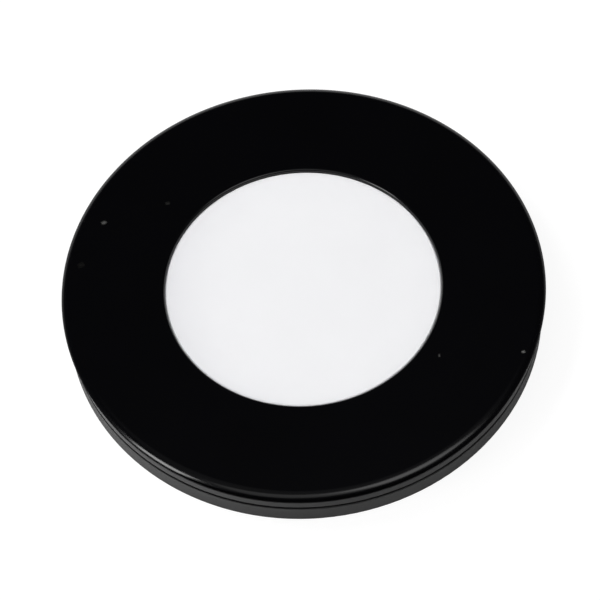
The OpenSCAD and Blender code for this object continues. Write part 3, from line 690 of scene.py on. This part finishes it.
def arc(middle, radius, start, end, steps):
    """Points of a section along an arc, with its angles in degrees."""
    angles = [math.radians(start + (end - start) * i / steps) for i in range(steps + 1)]
    return [(middle[0] + radius * math.cos(a), middle[1] + radius * math.sin(a)) for a in angles]


# Sizes in mm: outer edge, rim and opening, then the spigot, and the bosses with their screw holes.
trim_low, trim_high = (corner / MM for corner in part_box("trim_ring"))
TRIM_R, RIM_R, RIM_T = 34.99, 1.8, 0.45
OPENING_R, LIP_R, LIP_T, POCKET_R = 20.0, 0.4, 0.6, 22.9
SPIGOT_IN_R, SPIGOT_R, SPIGOT_H = 31.05, 31.85, 0.9
NOTCH = 4.0                   # half the gap in the spigot for the lead socket
BOSS_R, SCREW_HOLE_R, SCREW_HOLE_TOP = 2.0, 1.05, 6.1
REACH_IN = 0.05               # how far the spigot and the bosses reach into the ring
EDGE = 0.05                   # a narrow flat beside each rounding, so that it meets the face evenly
RING_STEPS, SPIGOT_STEPS, BOSS_STEPS, LIP_STEPS, RIM_STEPS = 360, 300, 48, 10, 16
top, rim_z = trim_high.z, trim_high.z - RIM_T
flat_r = TRIM_R - math.sqrt(RIM_R ** 2 - (RIM_R - RIM_T) ** 2)
rim_end = math.degrees(math.asin(1 - RIM_T / RIM_R))
casting = bmesh.new()
turned(casting, [
    (OPENING_R, top - LIP_T), *arc((OPENING_R + LIP_R, top - LIP_R), LIP_R, 180, 90, LIP_STEPS),
    (OPENING_R + LIP_R + EDGE, top), (flat_r - EDGE, top),
    *arc((flat_r, top - RIM_R), RIM_R, 90, rim_end, RIM_STEPS),
    (POCKET_R, rim_z), (POCKET_R, top - LIP_T)], RING_STEPS)
notch_turn = math.asin(NOTCH / SPIGOT_R)
turned(casting, [
    (SPIGOT_IN_R, rim_z - SPIGOT_H), (SPIGOT_R, rim_z - SPIGOT_H), (SPIGOT_R, rim_z + REACH_IN),
    (SPIGOT_IN_R, rim_z + REACH_IN)], SPIGOT_STEPS,
    ends=(math.pi / 2 + notch_turn, math.pi * 5 / 2 - notch_turn))
for i in range(SCREWS):
    turn = math.radians(FIRST_SCREW + i * 360 / SCREWS)
    turned(casting, [
        (0, rim_z + REACH_IN), (BOSS_R, rim_z + REACH_IN), (BOSS_R, trim_low.z),
        (SCREW_HOLE_R, trim_low.z), (SCREW_HOLE_R, SCREW_HOLE_TOP), (0, SCREW_HOLE_TOP)],
        BOSS_STEPS, centre=(CHANNEL_R * math.cos(turn), CHANNEL_R * math.sin(turn)), closed=False)
bmesh.ops.remove_doubles(casting, verts=casting.verts, dist=0.0001 * MM)
bmesh.ops.recalc_face_normals(casting, faces=casting.faces)
for face in casting.faces:
    face.smooth = True
cast_mesh = bpy.data.meshes.new("trim_casting")
casting.to_mesh(cast_mesh)
casting.free()
cast_mesh.set_sharp_from_angle(angle=math.radians(30))
cast_mesh.materials.append(gloss_paint)
trim_casting = bpy.data.objects.new("trim_casting", cast_mesh)
bpy.context.scene.collection.objects.link(trim_casting)
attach(trim_casting, "light_head")
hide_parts("trim_ring")

# Lint flecks: five thin grey specks that lie on the lacquer.
lint, tree, shader, place = start_material("Lint_grey", Roughness=0.9, Specular_IOR_Level=0.1)
# Lint: matt grey, more or less see-through, so each fleck has its own shade. It thins out towards
# its edge and is uneven over 0.15 mm.
shade = add(tree, "ShaderNodeAttribute", attribute_name="shade")
thick = add(tree, "ShaderNodeAttribute", attribute_name="thick")
fluff = add(tree, "ShaderNodeTexNoise", {"Vector": place, "Scale": 1 / (0.15 * MM), "Detail": 2.0})
uneven = add(tree, "ShaderNodeMapRange", {
    "Value": fluff.outputs["Fac"], "To Min": 0.5, "To Max": 1.5})
cover = add(tree, "ShaderNodeMath", {
    0: shade.outputs["Fac"], 1: thick.outputs["Fac"]}, operation="MULTIPLY")
factor = add(tree, "ShaderNodeMath", {
    0: cover.outputs[0], 1: uneven.outputs["Result"]}, operation="MULTIPLY")
colour = add(tree, "ShaderNodeMix", {
    "Factor": factor.outputs[0], "A": linear("#050505"), "B": linear("#bcbcba")},
    data_type="RGBA")
tree.links.new(colour.outputs["Result"], shader.inputs["Base Color"])
FLECKS = (                    # x, y, turn in degrees, length, width and shade of each, in mm
    (-28.3, 13.62, 12, 1.15, 0.8, 0.14), (-18.83, 16.1, 0, 0.95, 0.65, 0.022),
    (30.42, -14.2, 0, 0.8, 0.6, 0.24), (18.5, -13.66, 80, 0.75, 0.4, 0.09),
    (-31.9, 6.55, 20, 1.3, 0.9, 0.005))
FLECK_T = 0.012
specks = [((x * MM, y * MM, top * MM), math.radians(turn),
           (long * MM, wide * MM, FLECK_T * MM), shade) for x, y, turn, long, wide, shade in FLECKS]
# Each is a flattened ball, pushed in and out by noise. Its attribute "thick" falls from 1 at the
# top to 0 at the edge.
tree, inputs, output = start_tree("Lint_flecks", Rough="Float", Seed="Float", Material="Material")
ball = add(tree, "GeometryNodeMeshIcoSphere", {"Radius": 0.5, "Subdivisions": 3})
ragged = add(tree, "ShaderNodeTexNoise", {
    "W": inputs["Seed"], "Scale": 2.5, "Detail": 2.0}, noise_dimensions="4D")
centred = add(tree, "ShaderNodeMath", {0: ragged.outputs["Fac"], 1: 0.5}, operation="SUBTRACT")
amount = add(tree, "ShaderNodeMath", {
    0: centred.outputs[0], 1: inputs["Rough"]}, operation="MULTIPLY")
point = add(tree, "GeometryNodeInputPosition")
axes = add(tree, "ShaderNodeSeparateXYZ", {"Vector": point.outputs[0]})
doubled = add(tree, "ShaderNodeMath", {0: axes.outputs["Z"], 1: 2.0}, operation="MULTIPLY")
thick = add(tree, "ShaderNodeMath", {0: doubled.outputs[0], 1: 4.0}, operation="POWER")
domed = add(tree, "GeometryNodeStoreNamedAttribute", {
    "Geometry": ball.outputs["Mesh"], "Name": "thick", "Value": thick.outputs[0]},
    data_type="FLOAT", domain="POINT")
push = add(tree, "ShaderNodeVectorMath", {
    0: point.outputs[0], 3: amount.outputs[0]}, operation="SCALE")
fleck = add(tree, "GeometryNodeSetPosition", {
    "Geometry": domed.outputs["Geometry"], "Offset": push.outputs[0]})
turn = add(tree, "GeometryNodeInputNamedAttribute", {"Name": "turn"}, data_type="FLOAT")
size = add(tree, "GeometryNodeInputNamedAttribute", {"Name": "size"}, data_type="FLOAT_VECTOR")
spin = add(tree, "ShaderNodeCombineXYZ", {"Z": turn.outputs["Attribute"]})
placed = add(tree, "GeometryNodeInstanceOnPoints", {
    "Points": inputs["Geometry"], "Instance": fleck.outputs["Geometry"],
    "Rotation": spin.outputs[0], "Scale": size.outputs["Attribute"]})
end_tree(tree, placed, inputs, output)
grow("lint_flecks", tree, "light_head", {
    "Rough": 1.6, "Seed": 3.0, "Material": lint}, specks)

# Studio
# White floor, a softbox on the left, a wide one overhead with a lamp behind its right half, and a
# pale room low down. Higher up it is dark, as the black face shows. The ceiling only fills, and so
# does the window behind on the left, which makes the band lighter on that side.
FLOOR_HALF, FLOOR_Z = 3.0, -0.02 * MM
floor_mesh = bpy.data.meshes.new("floor")
floor_mesh.from_pydata(
    [(x * FLOOR_HALF, y * FLOOR_HALF, FLOOR_Z) for x, y in ((-1, -1), (1, -1), (1, 1), (-1, 1))],
    [], [(0, 1, 2, 3)])
floor = bpy.data.objects.new("floor", floor_mesh)
bpy.context.scene.collection.objects.link(floor)
pale, tree, shader, _ = start_material(
    "Painted_board_pale", Base_Color=linear("#e4e4e4"), Roughness=0.9, Specular_IOR_Level=0.0)
# Painted board: pale and quite dull, so that only light and shadow show on it.
# The camera and clear pieces see it white: the glow and a fifth of the lamps' light, less in the
# shadow. Gloss mirrors it as it is lit, so the bands are darker where they face the shadow.
seen = add(tree, "ShaderNodeLightPath")
direct = add(tree, "ShaderNodeMath", {
    0: seen.outputs["Is Camera Ray"], 1: seen.outputs["Is Transmission Ray"]}, operation="MAXIMUM")
glow = add(tree, "ShaderNodeEmission", {"Color": (1, 1, 1, 1), "Strength": 0.87})
wash = add(tree, "ShaderNodeBsdfDiffuse", {"Color": (0.2, 0.2, 0.2, 1)})
shown = add(tree, "ShaderNodeAddShader", {0: glow.outputs[0], 1: wash.outputs[0]})
either = add(tree, "ShaderNodeMixShader", {
    0: direct.outputs[0], 1: shader.outputs[0], 2: shown.outputs[0]})
tree.links.new(either.outputs[0], tree.nodes["Material Output"].inputs["Surface"])
floor_mesh.materials.append(pale)

world = bpy.data.worlds.new("studio")
bpy.context.scene.world = world
world.use_nodes = True
tree = world.node_tree
tree.nodes.clear()
# By height above the horizon: pale to 12 degrees, dark from 24, and a little lighter from 58 up.
way = add(tree, "ShaderNodeTexCoord")
axes = add(tree, "ShaderNodeSeparateXYZ", {"Vector": way.outputs["Generated"]})
room = add(tree, "ShaderNodeMapRange", {
    "Value": axes.outputs["Z"], "From Min": 0.2, "From Max": 0.4, "To Min": 0.8, "To Max": 0.02})
above = add(tree, "ShaderNodeMapRange", {
    "Value": axes.outputs["Z"], "From Min": 0.853, "From Max": 0.93, "To Min": 0.0, "To Max": 0.12})
level = add(tree, "ShaderNodeMath", {
    0: room.outputs["Result"], 1: above.outputs["Result"]}, operation="MAXIMUM")
# The camera and clear pieces see it white. Gloss mirrors the room.
seen = add(tree, "ShaderNodeLightPath")
direct = add(tree, "ShaderNodeMath", {
    0: seen.outputs["Is Camera Ray"], 1: seen.outputs["Is Transmission Ray"]}, operation="MAXIMUM")
dim = add(tree, "ShaderNodeBackground", {"Color": (1, 1, 1, 1), "Strength": level.outputs[0]})
white = add(tree, "ShaderNodeBackground", {"Color": (1, 1, 1, 1), "Strength": 1.0})
either = add(tree, "ShaderNodeMixShader", {
    0: direct.outputs[0], 1: dim.outputs[0], 2: white.outputs[0]})
add(tree, "ShaderNodeOutputWorld", {"Surface": either.outputs[0]})


def softbox(name, azimuth, elevation, distance, width, height, level, mirrored=True):
    """A rectangular lamp aimed at the origin, in degrees and metres. Level is how bright it is."""
    a, e = math.radians(azimuth), math.radians(elevation)
    way = Vector((math.cos(e) * math.cos(a), math.cos(e) * math.sin(a), math.sin(e)))
    lamp = bpy.data.lights.new(name, "AREA")
    lamp.shape = "RECTANGLE"
    lamp.size, lamp.size_y = width, height
    lamp.energy = level * math.pi * width * height
    made = bpy.data.objects.new(name, lamp)
    made.location = way * distance
    made.rotation_euler = way.to_track_quat("Z", "Y").to_euler()
    made.visible_glossy = mirrored
    bpy.context.scene.collection.objects.link(made)


softbox("left_softbox", 205, 40, 0.9, 0.29, 0.25, 8.0)
softbox("overhead_softbox", -80, 67, 1.0, 1.05, 0.48, 0.55)
softbox("overhead_lamp", -36, 66, 1.0, 0.5, 0.42, 1.35)
softbox("ceiling", -90, 80, 1.2, 1.3, 1.3, 0.89, mirrored=False)
softbox("back_window", 149, 42, 1.2, 0.7, 0.7, 6.2, mirrored=False)

# Camera
# Half a metre away and 58 degrees above the floor, turned 4.7 degrees about its own axis. It aims a
# little above and to the left of the light's middle, as the photograph does.
ELEVATION, ROLL = math.radians(58.08), math.radians(4.71)
DISTANCE = 0.5
IMAGE_PX, FOCAL_PX, SENSOR = 600, 3424.5, 36.0
OFF_RIGHT_PX, OFF_DOWN_PX = 5.09, 10.89               # the light's middle from the image's middle
back = Vector((0, -math.cos(ELEVATION), math.sin(ELEVATION)))
level_right, level_up = Vector((1, 0, 0)), Vector((0, math.sin(ELEVATION), math.cos(ELEVATION)))
right = math.cos(ROLL) * level_right - math.sin(ROLL) * level_up
up = math.sin(ROLL) * level_right + math.cos(ROLL) * level_up
pixel = DISTANCE / FOCAL_PX
aim = (OFF_DOWN_PX * up - OFF_RIGHT_PX * right) * pixel
away = (back * DISTANCE - aim).normalized()
across = up.cross(away).normalized()
camera_data = bpy.data.cameras.new("camera")
camera_data.sensor_width = SENSOR
camera_data.lens = FOCAL_PX / IMAGE_PX * SENSOR
camera_data.clip_start, camera_data.clip_end = 0.05, 20.0
camera = bpy.data.objects.new("camera", camera_data)
aimed = Matrix((across, away.cross(across), away)).transposed().to_4x4()
camera.matrix_world = Matrix.Translation(back * DISTANCE) @ aimed
bpy.context.scene.collection.objects.link(camera)
bpy.context.scene.camera = camera
bpy.context.scene.view_settings.view_transform = "Standard"
